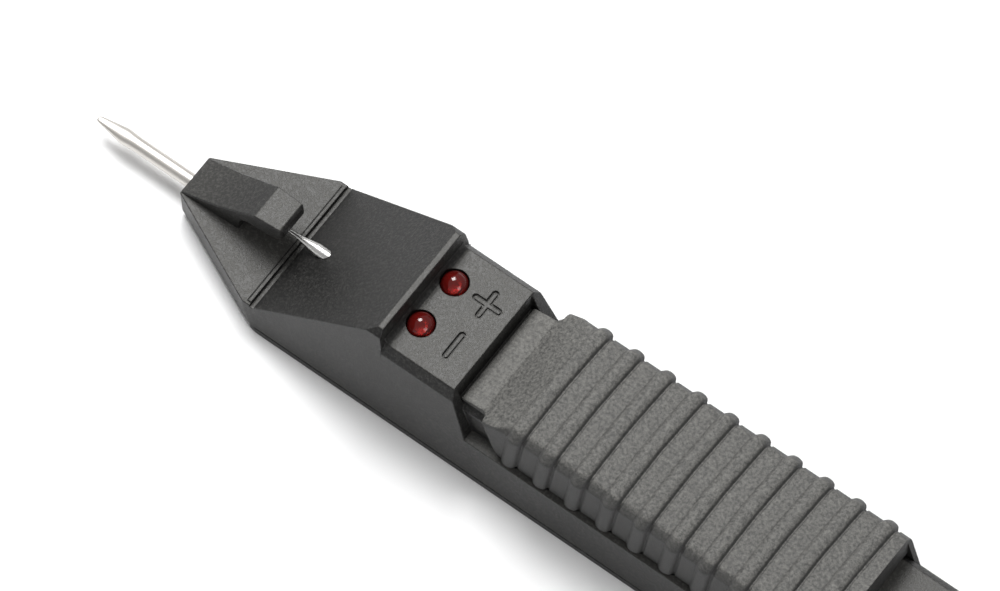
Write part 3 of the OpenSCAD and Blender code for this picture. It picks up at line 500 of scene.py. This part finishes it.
def grip_ring(x):
    """The grip's section at a station: half its outline from the middle of the top, down and in."""
    grow = growth.get(x, 0.0)
    top = between(top_line, x) + grow
    low = between(wall_front, x)
    wall = between(wall_half, x) + grow
    knee = KNEE + grow * 0.41
    slope = (GRIP_HALF - TOP_HALF) / (GRIP_EDGE - KNEE)

    def edge(z):
        """Half the width at this height, on the side wall or on the slanted edge above it."""
        return wall - max(0.0, z - knee) * slope

    behind = max(0.0, min(1.0, (x - TONGUE_END) / 7))
    tongue = x < wall_front[0][0]
    reach = TONGUE_HALF + 0.95 * max(0.0, x - TONGUE_END) if tongue else edge(top)
    ring = []
    for i in range(9):
        y = (reach - 0.7) * i / 8
        ring.append((y, top + CROWN * (1 - (y / reach) ** 2) * behind))
    if tongue:
        ring += [(reach - 0.25, top - 0.02), (reach - 0.06, top - 0.12), (reach, top - 0.3)]
        ring += [(reach, max(FLOOR, top - 0.3) - max(0.0, top - 0.3 - FLOOR) * i / 8) for i in range(1, 8)]
        return ring + [(reach, FLOOR), (reach, FLOOR), (reach, FLOOR)]
    for drop, inset in ((0.02, 0.35), (0.16, 0.1), (0.42, 0.02)):
        ring.append((edge(top - drop) - inset, max(low, top - drop)))
    for step, inset in ((0.9, 0.0), (0.35, 0.14), (0.0, 0.1), (-0.35, 0.05), (-0.9, 0.0)):
        z = max(low, min(knee + step, top - 0.8 + step * 0.2))
        ring.append((edge(z) - inset, z))
    ring += [(edge(low), max(low, (ring[-1][1] + low) / 2)), (edge(low), low)]
    inner = INNER if low < FLOOR else TOP_HALF
    return ring + [(min(inner, edge(low)), low), (min(inner, edge(low)), FLOOR), (inner * 0.5, FLOOR)]


SKEW, RIB_LEAN, KNEE_LEAN = 0.035, 0.14, 0.25


def lean(x, y, z):
    """The ribs run a little askew over the top, and lean towards the tip down the side walls."""
    skew = -SKEW * max(0.0, y)
    if abs(y) < INNER + 0.05:
        drop = skew
    elif y > 0:
        drop = skew + max(0.0, KNEE - z) * RIB_LEAN
    elif z > KNEE:
        drop = min(KNEE_LEAN, (GRIP_EDGE - z) * RIB_LEAN)
    else:
        drop = KNEE_LEAN + (KNEE - z) * RIB_LEAN
    return drop * max(0.0, min(1.0, (x - WALL_FOOT) / (FIRST_RIB - WALL_FOOT)))


def lofted(rings):
    """A solid through rings of points, with its two ends capped."""
    shape = bmesh.new()
    loops = [[shape.verts.new(point) for point in ring] for ring in rings]
    for first, second in zip(loops, loops[1:]):
        for i in range(len(first)):
            j = (i + 1) % len(first)
            shape.faces.new((first[i], first[j], second[j], second[i]))
    shape.faces.new(loops[0])
    shape.faces.new(loops[-1])
    return shape


rings = []
for x in stations:
    half_ring = grip_ring(x)
    outline = half_ring + [(-y, z) for y, z in reversed(half_ring[1:])]
    rings.append([at(x - lean(x, y, z), y, z) for y, z in outline])
shape = lofted(rings)
bmesh.ops.remove_doubles(shape, verts=shape.verts, dist=0.001 * MM)
grip = closed(shape)
combined(grip, "DIFFERENCE",
         prism([(GRIP_END, 40), (GRIP_END, KNEE), (WING_END - 0.3, 13.8), (WING_END - 0.1, 12),
                (180, 12), (180, 40)], "y", -WIDE, WIDE),
         box(GRIP_END, 180, -INNER, INNER, 12, 40))
joined(grip, *[bored_post(x, 0, 3.5, 18.3, 21.2, 1.53, 17, 21) for x in GRIP_SCREWS])
finished(grip, "grip_shell", 38)

# Greyer nylon with a coarse, dull grain. Painted light: the faces that look up are painted paler than the
# side walls, and the tongue carries a painted highlight
coarse, surface, s = material("grip_nylon", Specular_IOR_Level=0.35, IOR=1.5)
pebble = s.noise(1700, 3.0, 0.62)
dust = s.noise(4200, 2.0, 0.6).clamped(0.48, 0.7)
cloud = s.noise(120, 3.0, 0.5)
# Painted highlight: the tongue, in front of its crease, is painted paler.
tongue_highlight = (s.along() + cloud * 0.3 * MM).clamped(at(97.7).x, at(97.3).x)
rounded = s.node("Bevel", {"samples": 6}, Radius=0.22 * MM)
# Painted light: under the upward mask this paints the faces that look up paler than the side walls; the
# pebble grain and dust specks are the nylon's own.
paler = pebble.clamped(0.35, 0.7) * 0.55 + dust * 0.3 + 0.12
feed(surface,
     Base_Color=s.tint((0.028, 0.028, 0.028), (0.207, 0.203, 0.189),
                       s.upward(0.35, 0.85) * paler + pebble * 0.12 + tongue_highlight * 0.16),
     Roughness=cloud * 0.1 + pebble * 0.12 + 0.45,
     Normal=s.bump(pebble + dust * 0.5, 0.8, 0.11 * MM, rounded))
dress(grip, coarse, "slide")
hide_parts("grip")


# Needle and what holds it
# A ground steel needle with a satin shank, clamped by a grub screw in a brass sleeve that rides in
# the carriage. It slides in a turned brass bush in the panel's boss, and a brass leaf wipes the sleeve.


def around(sides, start=0.0):
    """Evenly spaced turns of a full circle."""
    return [2 * math.pi * (i + start) / sides for i in range(sides)]


def turned(name, profile, z):
    """A turned piece that lies along the tester, from its stations and radii."""
    rings = [[at(x, r * math.cos(a), z + r * math.sin(a)) for a in around(64)] for x, r in profile]
    return finished(closed(lofted(rings)), name, 40)


def metal(name, dark, light, roughness, lines=(1, 1, 1), scale=900):
    """A bare metal with drawn or turned marks, tarnish and a worn gloss."""
    made, surface, s = material(name, Metallic=1.0)
    marks = s.noise(scale, 3.0, 0.6, spread=lines)
    stain = s.noise(140, 4.0, 0.6)
    feed(surface,
         Base_Color=s.tint(dark, light, marks * 0.5 + stain * 0.5),
         Roughness=marks * 0.16 + stain * 0.12 + roughness,
         Normal=s.bump(marks, 0.35, 0.02 * MM))
    return made


def keep(node, made):
    """Gives a node's own mesh a better material."""
    piece = bpy.data.objects[node]
    for slot in piece.material_slots:
        slot.material = made


needle_end = (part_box("needle")[1][0] - TIP) / MM
needle = turned("needle_point", [(43.0, 0.03), (43.06, 0.11), (43.25, 0.16), (46.6, 0.36), (48.9, 0.78),
                                 (50.7, 1.1), (51.2, NEEDLE), (needle_end - 0.2, NEEDLE),
                                 (needle_end, 0.95)], AXIS)
dress(needle, metal("needle_steel", (0.60, 0.60, 0.59), (0.86, 0.85, 0.83), 0.2, (0.06, 1, 1), 1600),
      "slide")
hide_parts("needle")
brass = metal("turned_brass", (0.52, 0.36, 0.12), (0.80, 0.62, 0.27), 0.24, (1, 0.08, 0.08), 1400)
for node in ("needle_holder", "needle_guide", "needle_contact"):
    keep(node, brass)


# Probe rod
# A nickel-plated steel rod, flattened at its end into a narrow point with a round nose. A cross pin
# holds it in the nose, and a brass clip with a red wire joins it to the board.

ROD, BLADE_END, FLATNESS = 1.45, 9.0, 0.72
blade = [(0.02, 0.30, 0.20), (0.12, 0.48, 0.27), (0.35, 0.60, 0.33), (1.2, 0.78, 0.44), (3.0, 1.10, 0.76),
         (5.0, 1.44, 1.12), (6.3, 1.63, 1.38), (7.4, 1.56, 1.44), (BLADE_END, ROD, ROD), (64.9, ROD, ROD),
         (65.1, 1.3, 1.3)]


def squared(value, power):
    """Pushes a sine or cosine towards a flat-sided section."""
    return math.copysign(abs(value) ** power, value)


rings = []
for x, half_w, half_t in blade:
    power = FLATNESS + (1 - FLATNESS) * min(1.0, x / BLADE_END)
    rings.append([at(x, half_w * squared(math.cos(a), power), ROD_Z + half_t * squared(math.sin(a), power))
                  for a in around(64, 0.5)])
rod = finished(closed(lofted(rings)), "probe_point", 50)
combined(rod, "DIFFERENCE", post(31.6, 0, 0.63, 2, 8))
dress(rod, metal("nickel_plate", (0.60, 0.575, 0.54), (0.78, 0.755, 0.715), 0.3, (0.05, 1, 1), 1300),
      "case")
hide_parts("probe_rod")
zinc = metal("zinc_plate", (0.42, 0.43, 0.45), (0.66, 0.67, 0.70), 0.3)
for node in ("rod_pin", "cover_screws", "carriage_screws", "needle_grub_screw", "board_screws",
             "clamp_screws", "spring_rod"):
    keep(node, zinc)
keep("rod_clip", brass)


def moulded(name, dark, light, roughness, scale=1500, relief=0.03):
    """A moulded, painted or cast surface with clouds, specks and fine relief."""
    made, surface, s = material(name)
    grain = s.noise(scale, 3.0, 0.6)
    cloud = s.noise(scale / 9, 3.0, 0.5)
    feed(surface,
         Base_Color=s.tint(dark, light, grain.clamped(0.3, 0.7) * 0.5 + cloud * 0.5),
         Roughness=cloud * 0.14 + grain * 0.1 + roughness,
         Normal=s.bump(grain + cloud * 0.5, 0.4, relief * MM))
    return made


keep("rod_wire", moulded("red_insulation", (0.26, 0.012, 0.010), (0.42, 0.03, 0.02), 0.28, 2200))


# Lamps
# Two 5 mm lamps of clear red resin stand in the deck's holes. Each is a round-nosed lens with a flange
# below, over a steel frame: a bright cup and a flat post beside it, on two legs.

resin, surface, s = material("red_resin", IOR=1.53, Transmission_Weight=0.5, Specular_IOR_Level=0.5)
haze = s.noise(700, 3.0, 0.6)
feed(surface,
     Base_Color=s.tint((0.11, 0.004, 0.003), (0.20, 0.008, 0.006), haze),
     Roughness=haze * 0.08 + 0.05,
     Normal=s.bump(s.noise(300, 3.0, 0.5) + haze * 0.3, 0.25, 0.05 * MM))
frame_steel = metal("lamp_frame_steel", (0.72, 0.70, 0.68), (0.90, 0.88, 0.86), 0.22)
LENS, DOME, FLANGE = 2.59, 24.6, 2.88
profile = [(2.3, 18.42), (FLANGE, 18.5), (FLANGE, 19.35), (LENS, 19.4), *arc((0, DOME), LENS, 0, 84, 14),
           (0.02, DOME + LENS)]
for node, y in (("lamp_plus", LAMP_Y), ("lamp_minus", -LAMP_Y)):
    rings = [[at(LAMP_X + r * math.cos(a), y + r * math.sin(a), z) for a in around(64)] for r, z in profile]
    lens = finished(closed(lofted(rings)), node + "_lens", 40)
    dress(lens, resin, "case")
    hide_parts(node)
    cup = bored_post(LAMP_X - 0.55, y, 1.05, 20.6, 23.7, 0.8, 23.2, 24)
    joined(cup, box(LAMP_X + 0.85, LAMP_X + 1.7, y - 0.5, y + 0.5, 20.6, 23.9),
           *[post(LAMP_X + leg, y, 0.25, 15.9, 20.7, 16) for leg in (-1.27, 1.27)])
    finished(cup, node + "_frame")
    dress(cup, frame_steel, "case")


# Circuit board
# A small glass-fibre board with green lacquer over copper tracks hangs under the lamp deck on two
# screws. It carries the lamps, three resistors, two diodes, the driver chip and a capacitor.

board, surface, s = material("green_lacquer", Coat_Weight=0.3, Coat_Roughness=0.2)
weave = s.noise(1800, 2.0, 0.5, spread=(1, 1, 0.2))
tracks = s.node("TexWave", {"wave_type": "BANDS", "bands_direction": "DIAGONAL"},
                Vector=s.node("TexCoord", output=3), Scale=170.0, Distortion=5.0, Detail=0.0,
                Detail_Scale=0.4, output=1).clamped(0.62, 0.7)
feed(surface,
     Base_Color=s.tint((0.008, 0.075, 0.022), (0.02, 0.15, 0.045), tracks * 0.8 + weave * 0.2),
     Roughness=weave * 0.15 + 0.3,
     Normal=s.bump(tracks + weave * 0.2, 0.5, 0.04 * MM))
keep("circuit_board", board)
tin = metal("tinned_steel", (0.62, 0.63, 0.65), (0.83, 0.84, 0.85), 0.26)
keep("lead_terminal", tin)


LEG = 0.25


def axial(x, y, radius, half, reach):
    """A round part on a bent wire: its body with rounded shoulders, and its two legs."""
    z = BOARD + radius
    outline = [(-half, radius * 0.5), (-half + 0.12, radius * 0.85), (-half + 0.4, radius),
               (-half + 1.0, radius * 0.97), (-half + 1.3, radius * 0.86)]
    outline += [(-place, r) for place, r in reversed(outline)]
    rings = [[at(x + r * math.cos(a), y + place, z + r * math.sin(a)) for a in around(32)]
             for place, r in outline]
    body = closed(lofted(rings))
    legs = prism(circle((x, z), LEG, 24), "y", y - reach + LEG, y + reach - LEG)
    joined(legs, *[post(x, y + end * reach, LEG, 17.5, z + 0.2, 24) for end in (-0.965, 0.965)])
    return body, legs


def banded(name, dark, light, centres, bands, roughness):
    """A lacquered body with painted rings at these places across it, measured from its middle."""
    made, surface, s = material(name, Coat_Weight=0.4, Coat_Roughness=0.12)
    colour = s.tint(dark, light, s.noise(900, 3.0, 0.6))
    for centre in centres:
        for place, paint in bands:
            ring = s.maths("ABSOLUTE", s.along(1) - (centre + place) * MM) < 0.22 * MM
            colour = s.node("Mix", {"data_type": "RGBA"}, output=2, i0=ring, i6=colour, i7=(*paint, 1.0))
    grain = s.noise(2400, 2.0, 0.6)
    feed(surface, Base_Color=colour, Roughness=grain * 0.16 + roughness, Normal=s.bump(grain, 0.3, 0.02 * MM))
    return made


BROWN, BLACK = (0.09, 0.03, 0.012), (0.01, 0.01, 0.01)
RED, GOLD = (0.4, 0.015, 0.01), (0.55, 0.36, 0.09)
sets = {
    "resistors": (("resistor_tan", (0.42, 0.30, 0.15), (0.56, 0.42, 0.23), 0.3),
                  [(84.05, -5.0), (84.05, 5.0), (73.95, 0.0)], 0.8, 2.3, 3.95,
                  [(-1.25, BROWN), (-0.5, BLACK), (0.2, RED), (1.3, GOLD)]),
    "diodes": (("chip_black", (0.012, 0.012, 0.013), (0.03, 0.03, 0.032), 0.35),
               [(87.05, -5.0), (87.05, 5.0)], 0.7, 1.7, 3.2, [(1.0, (0.6, 0.6, 0.6))]),
}
for node, ((slot, dark, light, gloss), places, radius, half, reach, bands) in sets.items():
    pairs = [axial(x, y, radius, half, reach) for x, y in places]
    bodies = joined(*[body for body, legs in pairs])
    finished(bodies, node + "_bodies")
    paint = banded(node + "_lacquer", dark, light, sorted({y for x, y in places}), bands, gloss)
    dress(bodies, paint, "case")
    legs = joined(*[legs for body, legs in pairs])
    finished(legs, node + "_legs")
    dress(legs, tin, "case")
    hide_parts(node)

chip = softened(box(99.0, 104.0, -2.0, 2.0, 17.62, 18.25), 0.08)
combined(chip, "DIFFERENCE", post(99.6, 1.3, 0.28, 18.18, 19, 24))
finished(chip, "driver_chip_body")
dress(chip, moulded("chip_resin", (0.010, 0.010, 0.011), (0.028, 0.028, 0.030), 0.42, 2600, 0.03),
      "case")
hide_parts("driver_chip")
pins = [prism([(end * 1.9, 18.0), (end * 2.35, 17.98), (end * 2.5, 17.65), (end * 2.9, 17.65),
               (end * 2.9, 17.52), (end * 2.4, 17.52), (end * 2.24, 17.84), (end * 1.9, 17.86)],
              "x", x, x + 0.4)
        for x in (99.4, 100.67, 101.94, 103.21) for end in (-1, 1)]
pins = finished(joined(*pins), "driver_chip_pins")
dress(pins, tin, "case")
keep("capacitor", moulded("fired_ceramic", (0.30, 0.13, 0.04), (0.46, 0.22, 0.08), 0.34, 2000, 0.02))


# Return spring
# A coil of drawn spring steel wire sits in the carriage's pocket and bears on the chassis's rear
# bulkhead. Its end turns are closed.

SPRING_HALF, SPRING_FROM, SHORTENED = 2.8, 160.65, 0.57
SPRING_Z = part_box("return_spring")[0][2] / MM + SPRING_HALF
TURNS, CLOSED_TURNS, WIRE, COIL, STEPS = 13, 1.5, 0.33, 2.46, 28
closing = CLOSED_TURNS / TURNS
room = BULKHEAD - SPRING_FROM - 2 * WIRE - 2 * CLOSED_TURNS * 2 * WIRE
rings = []
for i in range(TURNS * STEPS + 1):
    share = i / (TURNS * STEPS)
    even = min(max((share - closing) / (1 - 2 * closing), 0.0), 1.0)
    flat = (min(share, closing) + max(share - 1 + closing, 0.0)) * TURNS * 2 * WIRE
    x = SPRING_FROM + WIRE + flat + even * room
    turn = 2 * math.pi * share * TURNS
    rings.append([at(x + WIRE * math.sin(a), (COIL + WIRE * math.cos(a)) * math.cos(turn),
                     SPRING_Z + (COIL + WIRE * math.cos(a)) * math.sin(turn)) for a in around(10)])
coil = finished(closed(lofted(rings)), "coil_spring", 60)
dress(coil, metal("spring_wire", (0.40, 0.41, 0.42), (0.66, 0.67, 0.68), 0.26, scale=1200),
      "case")
tuple(at(BULKHEAD, 0, SPRING_Z))
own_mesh(coil)
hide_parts("return_spring")


# Carriage and lead clamp
# Grey nylon mouldings inside the case: the long slider under the chassis, which carries the needle and
# takes the grip's two screws, and the bar that clamps the lead in the tail.

inner = moulded("inner_nylon", (0.085, 0.088, 0.090), (0.150, 0.153, 0.156), 0.42, 1700, 0.05)
for node in ("carriage", "lead_clamp"):
    keep(node, inner)


# Lead gland
# A black rubber sleeve in the tail that keeps the lead from kinking. It has a flange outside and a
# snap rim inside, and its nose narrows with soft ribs. The lead itself is left out.

GLAND_Z = (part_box("lead_gland")[0][2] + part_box("lead_gland")[1][2]) / 2 / MM
outline = [(192.75, 4.5), (192.85, 4.68), (193.8, 4.68), (193.92, 4.5), (193.94, 3.48), (195.95, 3.48),
           (195.97, 4.5), (196.1, 4.66), (197.2, 4.66), (197.42, 4.4), (197.5, 3.45), (198.3, 3.28),
           (198.4, 3.0), (198.9, 2.98), (199.0, 3.12), (199.7, 2.98), (199.8, 2.72), (200.3, 2.7),
           (200.4, 2.86), (201.1, 2.74), (201.2, 2.5), (201.7, 2.48), (201.8, 2.6), (202.3, 2.52),
           (202.44, 2.36)]
gland = turned("lead_sleeve", outline, GLAND_Z)
combined(gland, "DIFFERENCE", round_bar(192, 203, 1.6, GLAND_Z))
dress(gland, moulded("black_rubber", (0.014, 0.014, 0.015), (0.035, 0.035, 0.036), 0.6, 1300, 0.06),
      "case")
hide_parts("lead_gland")


# Stage, light and camera
# A pale bench under the tester, a soft light above it, a wide pale card beyond its tip, a weak fill
# from behind its tail, and the camera at the photograph's angle.

shape = bmesh.new()
bmesh.ops.create_grid(shape, x_segments=2, y_segments=2, size=1.5)
floor = closed(shape)
floor.name = "bench"
bench, surface, s = material("bench_white", Roughness=0.9, Specular_IOR_Level=0.1)
feed(surface, Base_Color=s.tint((0.955, 0.957, 0.96), (0.965, 0.965, 0.965), s.noise(6, 2.0)))
floor.data.materials.append(bench)

world = bpy.data.worlds.new("room")
bpy.context.scene.world = world
world.use_nodes = True
sky = world.node_tree.nodes["Background"]
sky.inputs["Color"].default_value = (1, 1, 1, 1)
sky.inputs["Strength"].default_value = 0.37


def light(name, place, target, size, power):
    """A soft square light that points at a spot."""
    lit = bpy.data.lights.new(name, "AREA")
    lit.shape = "SQUARE"
    lit.size = size
    lit.energy = power
    holder = bpy.data.objects.new(name, lit)
    holder.location = place
    holder.rotation_euler = (Vector(target) - Vector(place)).to_track_quat("-Z", "Y").to_euler()
    bpy.context.scene.collection.objects.link(holder)


light("softbox", (-0.38, 0.30, 0.95), (0, 0, 0), 0.48, 11.6)
light("card", (-1.3, 0.25, 0.35), (0, 0, 0.02), 1.0, 1.25)
light("fill", (0.95, -0.25, 0.5), (0, 0, 0), 0.5, 2.4)

photo = bpy.data.cameras.new("photo")
photo.lens = 339.4
photo.sensor_width = 36.0
photo.clip_end = 20
camera = bpy.data.objects.new("photo", photo)
right = Vector((0.799381, 0.600236, -0.026574))
down = Vector((0.538036, -0.734828, -0.412971))
view = Vector((-0.267407, 0.315824, -0.910356))
turned = Matrix((right, -down, -view)).transposed().to_4x4()
turned.translation = (0.437924, -0.526137, 1.564565)
camera.matrix_world = turned
bpy.context.scene.collection.objects.link(camera)
bpy.context.scene.camera = camera
bpy.context.scene.view_settings.view_transform = "Standard"
